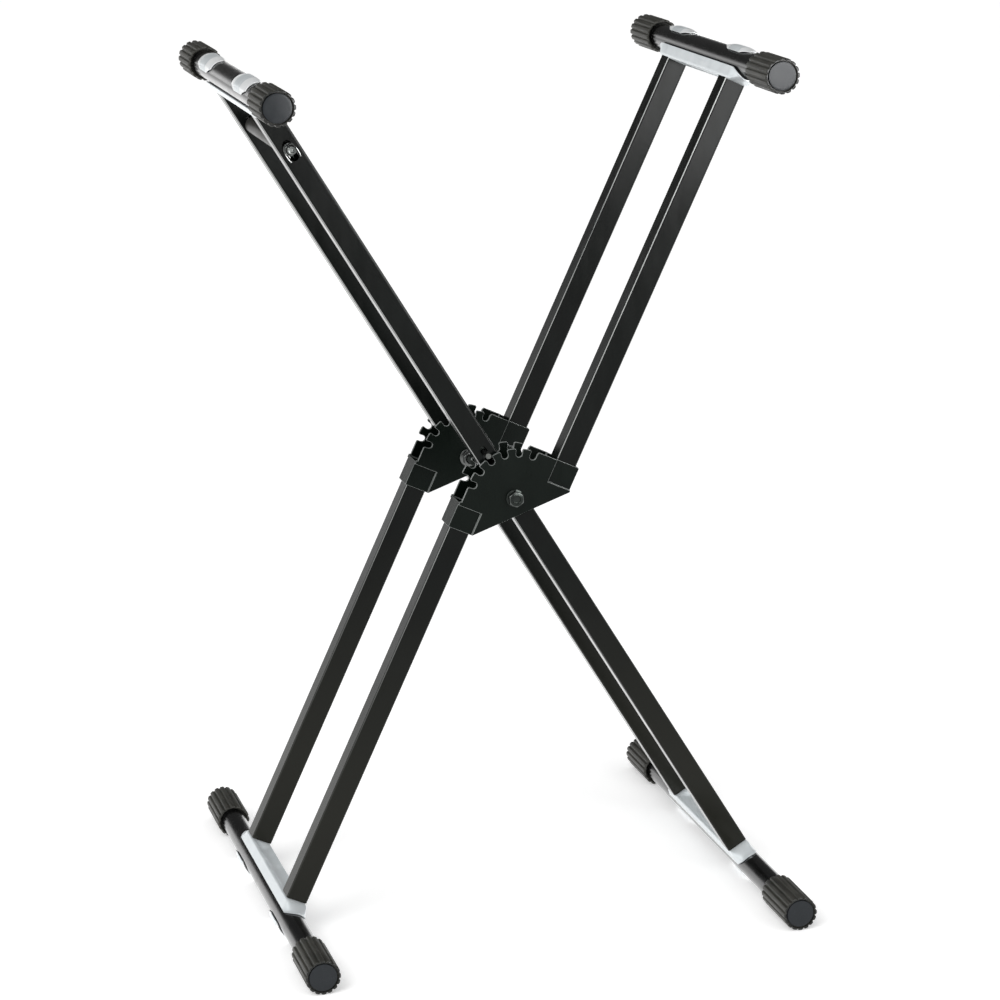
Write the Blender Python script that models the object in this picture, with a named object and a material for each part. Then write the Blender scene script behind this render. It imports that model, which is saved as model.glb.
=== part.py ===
"""Double-braced X-frame keyboard stand, folding, with a toothed lock and a pull-up release handle.

The stand is two leg frames that cross at one pivot line along Y. The outer frame leans to +X at the
top and carries the toothed brackets. The inner frame leans to -X at the top and folds between the
bracket cheeks. Each frame is drawn upright about the pivot and then turned by its parent empty.
Units are metres, +Z is up, and the origin is on the floor under the pivot.
"""

import math

import bmesh
import bpy
from mathutils import Matrix

# Overall sizes
LEG_SPACING = 0.175          # between the middle planes of the front and rear legs, along Y
LEG_LENGTH = 0.475           # pivot line to crossbar axis, along a leg
LEG_OFFSET = 0.037           # each half of an outer leg stands this far beside the pivot line
NOTCH_PITCH = math.radians(18.8)
NOTCH_COUNT = 6              # the first notch is the folded one
OPEN_NOTCH = 3               # the notch that the stand is shown in
FIT_GAP = 0.0003             # between pieces that touch or are welded

# Leg tube
TUBE_SIDE = 0.022
TUBE_WALL = 0.0015
TUBE_CORNER = 0.002
BAR_TO_LEG = 0.0193          # crossbar axis to the end of a leg

# Crossbars and their end caps
BAR_RADIUS = 0.0125
BAR_WALL = 0.0015
TOP_BAR_LENGTH = 0.414       # over the caps
BASE_BAR_LENGTH = 0.512      # over the caps
TOP_CAP_LENGTH = 0.057
BASE_CAP_LENGTH = 0.066
CAP_RADIUS = 0.01725         # axis to the flat crest of a rib
CAP_RIBS = 16
RIB_DEPTH = 0.0014
RIB_CREST_SHARE = 0.52       # flat crest's part of one rib's pitch
RIB_ROOT_SHARE = 0.20        # groove floor's part of one rib's pitch
DISC_RADIUS = 0.0139
DISC_GROOVE = 0.0006         # dark ring round the end disc
DISC_THICKNESS = 0.0027
SPIGOT_LENGTH = 0.012
SPIGOT_WALL = 0.002

# Zinc saddles between the legs and the crossbars
SADDLE_LENGTH = 0.244        # along the crossbar, over the sloping tongues
SADDLE_SHOULDER = 0.220      # along the crossbar, where the flanges start to slope
SADDLE_FLANGE_ANGLE = math.radians(60)   # where the flanges end on the crossbar, from the leg's side
SADDLE_WALL = 0.0016
SADDLE_ROUNDING = 0.0012     # where the flanges meet the top
DISH_DEPTH = 0.0044
DISH_FLOOR_SHARE = 0.8       # flat floor's part of the dish's length
DISH_MARGIN = 0.004          # from a leg's inner face to the dish

# Zinc clamp plates on the far side of the crossbars
PLATE_LENGTH = 0.066
PLATE_EDGE_LENGTH = 0.036    # length left at the plate's two side edges
PLATE_FLAT_ANGLE = math.radians(24)
PLATE_ANGLE = math.radians(56)
PLATE_THICKNESS = 0.0018

# Toothed hinge brackets
CHEEK_THICKNESS = 0.0025
CHEEK_INSIDE = 0.0142        # leg's middle plane to a cheek's inner face
BRACKET_REACH = 0.0503       # pivot line to the outer edge of the clamped corners
BRACKET_EDGE = 0.0486        # pivot line to the cheek's free side edge
CLAMP_START = 0.0267         # pivot line to the pressed step, along the leg
CLAMP_SIDE = 0.0249          # pivot line to the pressed step, across the leg
WEB_START = 0.0229           # pivot line to the top of the lower web
OUTER_TUBE_START = 0.0270    # pivot line to the inner end of an outer leg tube
TOOTH_RADIUS = 0.0495
NOTCH_SEAT_RADIUS = 0.0443   # pivot line to a seated lock pin's centre
TOOTH_CHAMFER = 0.0012
BRACKET_CORNER_CUT = 0.001

# Pivot hardware
BOLT_RADIUS = 0.004
BOLT_HEAD_ACROSS_FLATS = 0.014
BOLT_HEAD_HEIGHT = 0.0055
BOLT_FLANGE_RADIUS = 0.009
BOLT_FLANGE_THICKNESS = 0.0015
BOLT_RECESS_RADIUS = 0.0036
BOLT_RECESS_DEPTH = 0.0012
BOLT_TAIL = 0.0115           # thread showing past the nut
BOLT_CHAMFER = 0.001
NUT_ACROSS_FLATS = 0.013
NUT_HEIGHT = 0.0065
NUT_FLANGE_RADIUS = 0.0095
NUT_FLANGE_THICKNESS = 0.0016
BUSH_RADIUS = 0.006
BUSH_FLANGE_RADIUS = 0.0105

# Release handle, lock pins and return springs
PIN_RADIUS = 0.003
PIN_PROUD = 0.006            # lock pin past the outer cheek's outer face
PIN_CHAMFER = 0.0006
RELEASE_TRAVEL = 0.014       # from the notch's bottom to the handle's upper stop
REST_TIP_GAP = 0.0006        # lock pin over the tooth tips, as modelled
HANDLE_DROP = 0.071          # crossbar axis to the handle rod when the pins are seated
HANDLE_ROD_RADIUS = 0.004
HANDLE_ROD_PROUD = 0.0105    # rod past a leg's outer face
HANDLE_ROD_CHAMFER = 0.0008
HANDLE_NUT_ACROSS_FLATS = 0.0105
HANDLE_NUT_HEIGHT = 0.0045
HANDLE_NUT_FLANGE_RADIUS = 0.0062
HANDLE_NUT_FLANGE_THICKNESS = 0.0012
GRIP_RADIUS = 0.008
GRIP_WALL = 0.0037
GRIP_CHAMFER = 0.001
PULL_ROD_RADIUS = 0.0025
EYE_WALL = 0.0028
EYE_WIDTH = 0.008
SPRING_RADIUS = 0.0062       # coil's centre line
SPRING_WIRE_RADIUS = 0.0008
SPRING_TURNS = 7
SPRING_LENGTH = 0.040        # with the handle where it is modelled
SPRING_POINTS = 8            # points in one turn
STOP_THICKNESS = 0.006
COLLAR_RADIUS = 0.0075
COLLAR_THICKNESS = 0.002

# Facets of round pieces and smooth shading
ROUND = 28
MEDIUM_ROUND = 24
SMALL_ROUND = 18
PLATE_STEPS = 16
NOTCH_STEPS = 6
SLOT_END_STEPS = 8
TUBE_CORNER_STEPS = 3
SHADE_ANGLE = math.radians(32)
WELD_DISTANCE = 1e-6

# Places that follow from the sizes
SIDES = {"front": -1, "rear": 1}
LEG_PLANE = LEG_SPACING / 2
HALF_TUBE = TUBE_SIDE / 2
LEG_END = LEG_LENGTH - BAR_TO_LEG
CHEEK_OUTSIDE = CHEEK_INSIDE + CHEEK_THICKNESS
CLAMP_INSIDE = HALF_TUBE + FIT_GAP
CLAMP_OUTSIDE = CLAMP_INSIDE + CHEEK_THICKNESS
WEB_INSIDE = LEG_OFFSET + HALF_TUBE + FIT_GAP
HANDLE_SEAT = LEG_LENGTH - HANDLE_DROP
REST_LIFT = TOOTH_RADIUS + PIN_RADIUS + REST_TIP_GAP - NOTCH_SEAT_RADIUS
PIN_REST = NOTCH_SEAT_RADIUS + REST_LIFT
HANDLE_REST = HANDLE_SEAT + REST_LIFT
COLLAR_TOP = PIN_RADIUS + FIT_GAP + EYE_WALL + COLLAR_THICKNESS
OPENING = OPEN_NOTCH * NOTCH_PITCH

# Both crossbars of a level lie at one height, which sets how the opening is shared by the frames.
OFFSET_SHARE = LEG_OFFSET / LEG_LENGTH
OUTER_LEAN = math.atan2(1 - math.cos(OPENING), math.sin(OPENING) + OFFSET_SHARE)
INNER_LEAN = OPENING - OUTER_LEAN
PIVOT_HEIGHT = LEG_LENGTH * math.cos(INNER_LEAN) + CAP_RADIUS

# Colours, roughness and metallic of the materials
MATERIALS = {
    "black_powder_coat": ((0.012, 0.014, 0.013), 0.38, 0.0),
    "black_bracket_paint": ((0.008, 0.011, 0.009), 0.30, 0.0),
    "black_steel": ((0.015, 0.016, 0.016), 0.35, 0.6),
    "bright_zinc": ((0.56, 0.60, 0.61), 0.34, 0.9),
    "zinc_hardware": ((0.42, 0.43, 0.42), 0.35, 0.9),
    "cap_rubber": ((0.045, 0.045, 0.040), 0.62, 0.0),
    "disc_plastic": ((0.060, 0.065, 0.070), 0.50, 0.0),
    "grip_plastic": ((0.085, 0.083, 0.076), 0.55, 0.0),
    "nylon": ((0.62, 0.61, 0.57), 0.50, 0.0),
    "spring_steel": ((0.30, 0.30, 0.30), 0.32, 1.0),
}


# Scene set-up
def clear_scene():
    """Remove every object, mesh and curve that the file opened with."""
    for item in list(bpy.data.objects):
        bpy.data.objects.remove(item, do_unlink=True)
    for mesh in list(bpy.data.meshes):
        bpy.data.meshes.remove(mesh)
    for curve in list(bpy.data.curves):
        bpy.data.curves.remove(curve)


def make_collection(name):
    """Make a collection under the scene."""
    collection = bpy.data.collections.new(name)
    bpy.context.scene.collection.children.link(collection)
    return collection


def make_material(name):
    """Return the named material, making it the first time."""
    material = bpy.data.materials.get(name)
    if material is None:
        colour, roughness, metallic = MATERIALS[name]
        material = bpy.data.materials.new(name)
        material.use_nodes = True
        shader = material.node_tree.nodes["Principled BSDF"]
        shader.inputs["Base Color"].default_value = (*colour, 1.0)
        shader.inputs["Roughness"].default_value = roughness
        shader.inputs["Metallic"].default_value = metallic
    return material


clear_scene()
STAND = make_collection("keyboard_stand")
CUTTERS = make_collection("cutters")


def make_empty(name, parent=None, location=(0, 0, 0), turn_y=0.0):
    """Make the empty that stands on a frame's joint axis."""
    empty = bpy.data.objects.new(name, None)
    empty.empty_display_size = 0.05
    empty.parent = parent
    empty.location = location
    empty.rotation_euler = (0, turn_y, 0)
    STAND.objects.link(empty)
    return empty


# Meshes, all drawn about the local origin
def mesh_from(bm, name):
    """Turn a bmesh into a mesh."""
    mesh = bpy.data.meshes.new(name)
    bm.to_mesh(mesh)
    bm.free()
    return mesh


def prism(name, outlines, start, end, along="Z"):
    """Extrude flat outlines, the first one outside and any others holes, from start to end.

    Along Z the outline lies in X and Y; along Y it lies in X and Z.
    """
    curve = bpy.data.curves.new(name, "CURVE")
    curve.dimensions = "2D"
    curve.fill_mode = "BOTH"
    curve.extrude = (end - start) / 2
    for outline in outlines:
        spline = curve.splines.new("POLY")
        spline.points.add(len(outline) - 1)
        for point, (across, up) in zip(spline.points, outline):
            point.co = (across, up, 0, 1)
        spline.use_cyclic_u = True
    mesh = mesh_of_curve(curve)
    middle = (start + end) / 2
    if along == "Z":
        mesh.transform(Matrix.Translation((0, 0, middle)))
    else:
        mesh.transform(Matrix.Translation((0, middle, 0)) @ Matrix.Rotation(math.pi / 2, 4, "X"))
    return mesh


def mesh_of_curve(curve):
    """Evaluate a curve as a mesh with its caps welded on."""
    holder = bpy.data.objects.new(curve.name + "_curve", curve)
    CUTTERS.objects.link(holder)
    graph = bpy.context.evaluated_depsgraph_get()
    mesh = bpy.data.meshes.new_from_object(holder.evaluated_get(graph))
    bpy.data.objects.remove(holder)
    bpy.data.curves.remove(curve)
    bm = bmesh.new()
    bm.from_mesh(mesh)
    bmesh.ops.remove_doubles(bm, verts=bm.verts, dist=WELD_DISTANCE)
    bmesh.ops.recalc_face_normals(bm, faces=bm.faces)
    bm.to_mesh(mesh)
    bm.free()
    mesh.materials.clear()
    return mesh


def box(name, low, high):
    """Box between two corners."""
    bm = bmesh.new()
    bmesh.ops.create_cube(bm, size=1.0)
    size = [b - a for a, b in zip(low, high)]
    centre = [(a + b) / 2 for a, b in zip(low, high)]
    bmesh.ops.scale(bm, vec=size, verts=bm.verts)
    bmesh.ops.translate(bm, vec=centre, verts=bm.verts)
    return mesh_from(bm, name)


def turned(name, profile, segments):
    """Turn a closed profile of (radius, place) points about the Y axis.

    The profile runs anticlockwise with the radius across and the place up.
    """
    bm = bmesh.new()
    ring = [bm.verts.new((radius, place, 0)) for radius, place in profile]
    edges = [bm.edges.new((ring[i], ring[(i + 1) % len(ring)])) for i in range(len(ring))]
    bmesh.ops.spin(
        bm,
        geom=ring + edges,
        cent=(0, 0, 0),
        axis=(0, 1, 0),
        angle=2 * math.pi,
        steps=segments,
        use_merge=True,
    )
    bmesh.ops.remove_doubles(bm, verts=bm.verts, dist=WELD_DISTANCE)
    bmesh.ops.recalc_face_normals(bm, faces=bm.faces)
    return mesh_from(bm, name)


def pipe(name, outer, inner, start, end, segments=ROUND):
    """Round pipe along Y."""
    profile = [(inner, start), (outer, start), (outer, end), (inner, end)]
    return turned(name, profile, segments)


def round_bar(name, radius, start, end, chamfer=0.0, segments=SMALL_ROUND):
    """Solid round bar along Y, chamfered at both ends."""
    rings = [(radius, start + chamfer), (radius, end - chamfer)]
    if chamfer:
        rings = [(radius - chamfer, start), *rings, (radius - chamfer, end)]
    return stacked(name, rings, segments)


def stacked(name, rings, segments):
    """Solid of stacked rings of (radius, place) along Y, closed by a flat face at each end."""
    bm = bmesh.new()
    loops = []
    for radius, place in rings:
        loop = []
        for step in range(segments):
            angle = 2 * math.pi * step / segments
            loop.append(bm.verts.new((radius * math.cos(angle), place, radius * math.sin(angle))))
        loops.append(loop)
    for lower, upper in zip(loops, loops[1:]):
        for step in range(segments):
            following = (step + 1) % segments
            bm.faces.new((lower[step], lower[following], upper[following], upper[step]))
    bm.faces.new(loops[0])
    bm.faces.new(loops[-1])
    bmesh.ops.recalc_face_normals(bm, faces=bm.faces)
    return mesh_from(bm, name)


# Outlines
def circle_outline(radius, segments, centre=(0.0, 0.0)):
    """Points round a circle."""
    angles = [2 * math.pi * step / segments for step in range(segments)]
    return [(centre[0] + radius * math.cos(a), centre[1] + radius * math.sin(a)) for a in angles]


def square_outline(side, corner, steps, centre=(0.0, 0.0)):
    """Square with rounded corners."""
    reach = side / 2 - corner
    points = []
    for quarter, (sign_x, sign_y) in enumerate(((1, 1), (-1, 1), (-1, -1), (1, -1))):
        for step in range(steps + 1):
            angle = math.pi / 2 * (quarter + step / steps)
            across = sign_x * reach + corner * math.cos(angle)
            up = sign_y * reach + corner * math.sin(angle)
            points.append((centre[0] + across, centre[1] + up))
    return points


def slot_outline(radius, low, high):
    """Upright slot with round ends, whose end centres are at low and high."""
    points = []
    for centre, start in ((high, 0.0), (low, math.pi)):
        for step in range(SLOT_END_STEPS + 1):
            angle = start + math.pi * step / SLOT_END_STEPS
            points.append((radius * math.cos(angle), centre + radius * math.sin(angle)))
    return points


def ribbed_outline():
    """Cap outline with flat rib crests, one of them at the top and one at the bottom."""
    pitch = 2 * math.pi / CAP_RIBS
    crest = pitch * RIB_CREST_SHARE / 2
    root = pitch * (1 - RIB_ROOT_SHARE) / 2
    root_radius = CAP_RADIUS - RIB_DEPTH
    points = []
    for rib in range(CAP_RIBS):
        middle = math.pi / 2 + rib * pitch
        for angle, radius in (
            (-root, root_radius),
            (-crest, CAP_RADIUS / math.cos(crest)),
            (crest, CAP_RADIUS / math.cos(crest)),
            (root, root_radius),
        ):
            points.append((radius * math.cos(middle + angle), radius * math.sin(middle + angle)))
    return points


def along_notch(angle, out, across):
    """Point of a notch that opens at the angle: out from the pivot, and across toward the fold."""
    return (
        -out * math.sin(angle) + across * math.cos(angle),
        out * math.cos(angle) + across * math.sin(angle),
    )


def cheek_outline():
    """Cheek with its row of notches, in X and Z about the pivot, anticlockwise."""
    slot = PIN_RADIUS + FIT_GAP
    mouth = math.sqrt(TOOTH_RADIUS**2 - slot**2)
    reach = BRACKET_REACH
    points = [
        (-reach, -reach),
        (-CLAMP_SIDE, -reach),
        (reach, CLAMP_SIDE),
        (reach, reach - BRACKET_CORNER_CUT),
        (reach - BRACKET_CORNER_CUT, reach),
    ]
    for notch in range(NOTCH_COUNT):
        angle = notch * NOTCH_PITCH
        if notch == 0:
            points.append(along_notch(angle, reach, slot + TOOTH_CHAMFER))
        else:
            half_step = math.asin((slot + TOOTH_CHAMFER) / TOOTH_RADIUS)
            for share in (0.0, 0.5, 1.0):
                turn = half_step + share * (NOTCH_PITCH - 2 * half_step)
                tip = angle - NOTCH_PITCH + turn
                points.append((-TOOTH_RADIUS * math.sin(tip), TOOTH_RADIUS * math.cos(tip)))
        points.append(along_notch(angle, mouth - TOOTH_CHAMFER, slot))
        for step in range(NOTCH_STEPS + 1):
            around = math.pi * step / NOTCH_STEPS
            out = NOTCH_SEAT_RADIUS - slot * math.sin(around)
            points.append(along_notch(angle, out, slot * math.cos(around)))
        points.append(along_notch(angle, mouth - TOOTH_CHAMFER, -slot))
    last = (NOTCH_COUNT - 1) * NOTCH_PITCH
    end_up = along_notch(last, BRACKET_EDGE, -slot - TOOTH_CHAMFER)[1]
    points.append((-BRACKET_EDGE, end_up))
    points.append((-BRACKET_EDGE, -WEB_START))
    points.append((-reach, -WEB_START))
    return points


# Objects
def finish_object(name, mesh, collection):
    """Make a smooth-shaded object of the mesh."""
    item = bpy.data.objects.new(name, mesh)
    mesh.shade_smooth()
    mesh.set_sharp_from_angle(angle=SHADE_ANGLE)
    collection.objects.link(item)
    return item


def place(item, parent, location=(0, 0, 0), rotation=(0, 0, 0)):
    """Put an object in its parent's frame."""
    item.parent = parent
    item.location = location
    item.rotation_euler = rotation
    return item


def add_part(name, mesh, material, parent, location=(0, 0, 0), rotation=(0, 0, 0)):
    """Add one sub-part."""
    item = finish_object(name, mesh, STAND)
    mesh.materials.append(make_material(material))
    return place(item, parent, location, rotation)


def add_cutter(name, mesh, parent, location=(0, 0, 0), rotation=(0, 0, 0)):
    """Add a cutting shape that isn't part of the stand."""
    item = finish_object(name, mesh, CUTTERS)
    item.hide_render = True
    item.display_type = "WIRE"
    return place(item, parent, location, rotation)


def apply_tool(item, tool, operation="DIFFERENCE"):
    """Cut an object by another, or join the other to it."""
    modifier = item.modifiers.new(tool.name, "BOOLEAN")
    modifier.operation = operation
    modifier.solver = "EXACT"
    modifier.object = tool


# Sub-parts
def leg_tube_mesh(name, low, high, centre_x=0.0):
    """Square steel tube along Z, open at both ends."""
    outlines = [
        square_outline(TUBE_SIDE, TUBE_CORNER, TUBE_CORNER_STEPS, (centre_x, 0.0)),
        square_outline(TUBE_SIDE - 2 * TUBE_WALL, TUBE_CORNER / 2, 1, (centre_x, 0.0)),
    ]
    return prism(name, outlines, low, high)


def bracket_cutters(parent):
    """Cutting shapes that turn a solid block into two stepped cheeks and their webs."""
    beyond = 2 * BRACKET_REACH
    step_up = CLAMP_START - CHEEK_THICKNESS
    step_side = CLAMP_SIDE - CHEEK_THICKNESS
    swing = [
        (-beyond, -step_up),
        (-step_side, -step_up),
        (-step_side, -beyond),
        (beyond, -beyond),
        (beyond, step_up),
        (step_side, step_up),
        (step_side, beyond),
        (-beyond, beyond),
    ]
    cutters = []
    for side, sign in SIDES.items():
        plane = sign * LEG_PLANE
        swing_mesh = prism("swing_space", [swing], -CHEEK_INSIDE, CHEEK_INSIDE, "Y")
        tube_mesh = box(
            "tube_space",
            (-WEB_INSIDE, -CLAMP_INSIDE, -beyond),
            (WEB_INSIDE, CLAMP_INSIDE, beyond),
        )
        group = [
            add_cutter(f"{side}_swing_space", swing_mesh, parent, (0, plane, 0)),
            add_cutter(f"{side}_tube_space", tube_mesh, parent, (0, plane, 0)),
        ]
        for corner, turn in (("lower", 0.0), ("upper", math.pi)):
            for face in (-1, 1):
                near, far = sorted((face * CLAMP_OUTSIDE, face * 2 * CHEEK_OUTSIDE))
                pocket = box(
                    "clamp_pocket",
                    (-beyond, near, -beyond),
                    (-CLAMP_SIDE, far, -CLAMP_START),
                )
                label = "out" if face > 0 else "in"
                name = f"{side}_{corner}_{label}_pocket"
                group.append(add_cutter(name, pocket, parent, (0, plane, 0), (0, turn, 0)))
        bore = round_bar("pivot_bore", BOLT_RADIUS + FIT_GAP, -2 * CHEEK_OUTSIDE, 2 * CHEEK_OUTSIDE)
        group.append(add_cutter(f"{side}_bracket_bore", bore, parent, (0, plane, 0)))
        cutters.append(group)
    return cutters


def add_outer_legs(parent):
    """Outer legs, each in two halves that are clamped by a bracket."""
    cutters = bracket_cutters(parent)
    for (side, sign), group in zip(SIDES.items(), cutters):
        plane = sign * LEG_PLANE
        upper = leg_tube_mesh("upper_tube", OUTER_TUBE_START, LEG_END, LEG_OFFSET)
        lower = leg_tube_mesh("lower_tube", -LEG_END, -OUTER_TUBE_START, -LEG_OFFSET)
        add_part(f"outer_upper_leg_{side}", upper, "black_powder_coat", parent, (0, plane, 0))
        add_part(f"outer_lower_leg_{side}", lower, "black_powder_coat", parent, (0, plane, 0))
        block = prism("bracket", [cheek_outline()], -CHEEK_OUTSIDE, CHEEK_OUTSIDE, "Y")
        name = f"hinge_bracket_{side}"
        bracket = add_part(name, block, "black_bracket_paint", parent, (0, plane, 0))
        for cutter in group:
            apply_tool(bracket, cutter)


def add_inner_legs(parent):
    """Inner legs, one straight tube each, bored for the pivot and slotted for the release.

    The lock pin's slot goes through the outer wall alone, the handle rod's through both walls.
    """
    pin_slot = slot_outline(
        PIN_RADIUS + FIT_GAP,
        NOTCH_SEAT_RADIUS,
        NOTCH_SEAT_RADIUS + RELEASE_TRAVEL,
    )
    rod_slot = slot_outline(HANDLE_ROD_RADIUS + FIT_GAP, HANDLE_SEAT, HANDLE_SEAT + RELEASE_TRAVEL)
    for side, sign in SIDES.items():
        at = (0, sign * LEG_PLANE, 0)
        rotation = (0, 0, math.pi if sign > 0 else 0.0)
        tube = leg_tube_mesh("inner_tube", -LEG_END, LEG_END)
        leg = add_part(f"inner_leg_{side}", tube, "black_powder_coat", parent, at)
        bore = round_bar("bush_bore", BUSH_RADIUS + FIT_GAP, -TUBE_SIDE, TUBE_SIDE)
        apply_tool(leg, add_cutter(f"{side}_bush_bore", bore, parent, at))
        for label, outline, end in (("pin", pin_slot, 0.0), ("rod", rod_slot, TUBE_SIDE)):
            slot = prism(f"{label}_slot", [outline], -TUBE_SIDE, end, "Y")
            apply_tool(leg, add_cutter(f"{side}_{label}_slot", slot, parent, at, rotation))


def add_crossbar(prefix, parent, centre, lean, length, cap_length):
    """Crossbar with its two caps and their end discs, centred on an axis along Y."""
    half = length / 2
    seat = DISC_THICKNESS + FIT_GAP
    bar = pipe("crossbar", BAR_RADIUS, BAR_RADIUS - BAR_WALL, -half + seat, half - seat)
    add_part(f"{prefix}_crossbar", bar, "black_powder_coat", parent, centre)
    bore = circle_outline(BAR_RADIUS + FIT_GAP, ROUND)
    spigot_radius = BAR_RADIUS - BAR_WALL - FIT_GAP
    for side, sign in SIDES.items():
        turn = math.pi if sign > 0 else 0.0
        rotation = (0, sign * lean, turn)
        sleeve = prism("cap", [ribbed_outline(), bore], 0, cap_length, "Y")
        end = (centre[0], sign * half, centre[2])
        cap = add_part(f"{prefix}_cap_{side}", sleeve, "cap_rubber", parent, end, rotation)
        pocket = round_bar("disc_pocket", DISC_RADIUS + DISC_GROOVE, -seat, seat, segments=ROUND)
        apply_tool(cap, add_cutter(f"{prefix}_{side}_disc_pocket", pocket, parent, end, rotation))
        plug = stacked(
            "end_disc",
            [
                (DISC_RADIUS, 0.0),
                (DISC_RADIUS, DISC_THICKNESS),
                (spigot_radius, DISC_THICKNESS),
                (spigot_radius, SPIGOT_LENGTH),
                (spigot_radius - SPIGOT_WALL, SPIGOT_LENGTH),
                (spigot_radius - SPIGOT_WALL, DISC_THICKNESS),
            ],
            MEDIUM_ROUND,
        )
        add_part(f"{prefix}_end_disc_{side}", plug, "disc_plastic", parent, end, rotation)


def saddle_block():
    """Saddle's outline seen from the side, with a tongue that slopes to the crossbar at each end."""
    top = BAR_TO_LEG - FIT_GAP
    half_length = SADDLE_LENGTH / 2
    leg_face = LEG_PLANE + HALF_TUBE
    low = BAR_RADIUS * math.cos(SADDLE_FLANGE_ANGLE)
    tongue = BAR_RADIUS + FIT_GAP + SADDLE_WALL
    side = [
        (-SADDLE_SHOULDER / 2, low),
        (SADDLE_SHOULDER / 2, low),
        (half_length, BAR_RADIUS),
        (half_length, tongue),
        (leg_face, top),
        (-leg_face, top),
        (-half_length, tongue),
        (-half_length, BAR_RADIUS),
    ]
    mesh = prism("saddle", [side], -HALF_TUBE - SADDLE_WALL, HALF_TUBE + SADDLE_WALL, "Y")
    mesh.transform(Matrix.Rotation(math.pi / 2, 4, "Z"))
    return mesh


def saddle_section():
    """Cross-section that a saddle is trimmed to, in X and Z about the crossbar axis."""
    top = BAR_TO_LEG - FIT_GAP
    foot_radius = BAR_RADIUS + FIT_GAP + SADDLE_WALL
    foot = foot_radius * math.sin(SADDLE_FLANGE_ANGLE)
    foot_height = foot_radius * math.cos(SADDLE_FLANGE_ANGLE)
    return [
        (0, 0),
        (foot, foot_height),
        (HALF_TUBE, top - SADDLE_ROUNDING),
        (HALF_TUBE - SADDLE_ROUNDING, top),
        (-HALF_TUBE + SADDLE_ROUNDING, top),
        (-HALF_TUBE, top - SADDLE_ROUNDING),
        (-foot, foot_height),
    ]


def add_saddle(name, parent, centre, toward):
    """Pressed saddle between two legs and a crossbar; toward is 0 when the legs are above it."""
    rotation = (0, toward, 0)
    saddle = add_part(name, saddle_block(), "bright_zinc", parent, centre, rotation)
    reach = SADDLE_LENGTH
    trim = prism("saddle_trim", [saddle_section()], -reach, reach, "Y")
    apply_tool(saddle, add_cutter(f"{name}_trim", trim, parent, centre, rotation), "INTERSECT")
    seat = round_bar("bar_seat", BAR_RADIUS + FIT_GAP, -reach, reach, segments=ROUND)
    apply_tool(saddle, add_cutter(f"{name}_bar_seat", seat, parent, centre, rotation))
    top = BAR_TO_LEG - FIT_GAP
    wide = HALF_TUBE - SADDLE_WALL
    long = LEG_PLANE - HALF_TUBE - DISH_MARGIN
    dish = prism(
        "dish",
        [
            [
                (-long, top + DISH_DEPTH),
                (-long, top),
                (-DISH_FLOOR_SHARE * long, top - DISH_DEPTH),
                (DISH_FLOOR_SHARE * long, top - DISH_DEPTH),
                (long, top),
                (long, top + DISH_DEPTH),
            ]
        ],
        -wide,
        wide,
        "Y",
    )
    dish.transform(Matrix.Rotation(math.pi / 2, 4, "Z"))
    apply_tool(saddle, add_cutter(f"{name}_dish", dish, parent, centre, rotation))


def add_clamp_plate(name, parent, centre, toward):
    """Curved plate on the side of the crossbar that faces away from the legs."""
    inner = BAR_RADIUS + FIT_GAP
    outer = inner + PLATE_THICKNESS
    arc = [PLATE_ANGLE * (2 * step / PLATE_STEPS - 1) for step in range(PLATE_STEPS + 1)]
    section = [(outer * math.sin(a), -outer * math.cos(a)) for a in arc]
    section += [(inner * math.sin(a), -inner * math.cos(a)) for a in reversed(arc)]
    rotation = (0, toward, 0)
    mesh = prism("clamp_plate", [section], -PLATE_LENGTH / 2, PLATE_LENGTH / 2, "Y")
    plate = add_part(name, mesh, "bright_zinc", parent, centre, rotation)
    shoulder = inner * math.sin(PLATE_FLAT_ANGLE)
    edge = outer * math.sin(PLATE_ANGLE) + FIT_GAP
    half = PLATE_LENGTH / 2 + FIT_GAP
    outline = [
        (-edge, -PLATE_EDGE_LENGTH / 2),
        (-shoulder, -half),
        (shoulder, -half),
        (edge, -PLATE_EDGE_LENGTH / 2),
        (edge, PLATE_EDGE_LENGTH / 2),
        (shoulder, half),
        (-shoulder, half),
        (-edge, PLATE_EDGE_LENGTH / 2),
    ]
    trim = prism("plate_trim", [outline], -2 * outer, 0)
    apply_tool(plate, add_cutter(f"{name}_trim", trim, parent, centre, rotation), "INTERSECT")


def add_level(prefix, parent, centre, lean, top):
    """One crossbar with everything fixed to it."""
    toward = math.pi if top else 0.0
    length = TOP_BAR_LENGTH if top else BASE_BAR_LENGTH
    cap_length = TOP_CAP_LENGTH if top else BASE_CAP_LENGTH
    add_crossbar(prefix, parent, centre, lean, length, cap_length)
    add_saddle(f"{prefix}_saddle", parent, centre, toward)
    for side, sign in SIDES.items():
        at = (centre[0], sign * LEG_PLANE, centre[2])
        add_clamp_plate(f"{prefix}_clamp_plate_{side}", parent, at, toward)


def hexagon_outline(across_flats):
    """Hexagon with a corner at the right."""
    return circle_outline(across_flats / math.sqrt(3), 6)


def add_flange_nut(name, parent, at, rotation, bore_radius, reach, sizes):
    """Hexagon nut along Y from its seat to its end, with a round flange at the seat.

    The sizes are the nut's width across flats, and the flange's radius and thickness.
    """
    seat, end = reach
    across_flats, flange_radius, flange_thickness = sizes
    toward = 1 if end > seat else -1
    low, high = sorted(reach)
    bore = circle_outline(bore_radius, SMALL_ROUND)
    mesh = prism("nut", [hexagon_outline(across_flats), bore], low, high, "Y")
    nut = add_part(name, mesh, "zinc_hardware", parent, at, rotation)
    low, high = sorted((seat, seat + toward * flange_thickness))
    ring = pipe("nut_flange", flange_radius, bore_radius, low, high, SMALL_ROUND)
    apply_tool(nut, add_cutter(f"{name}_flange", ring, parent, at, rotation), "UNION")


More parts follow.
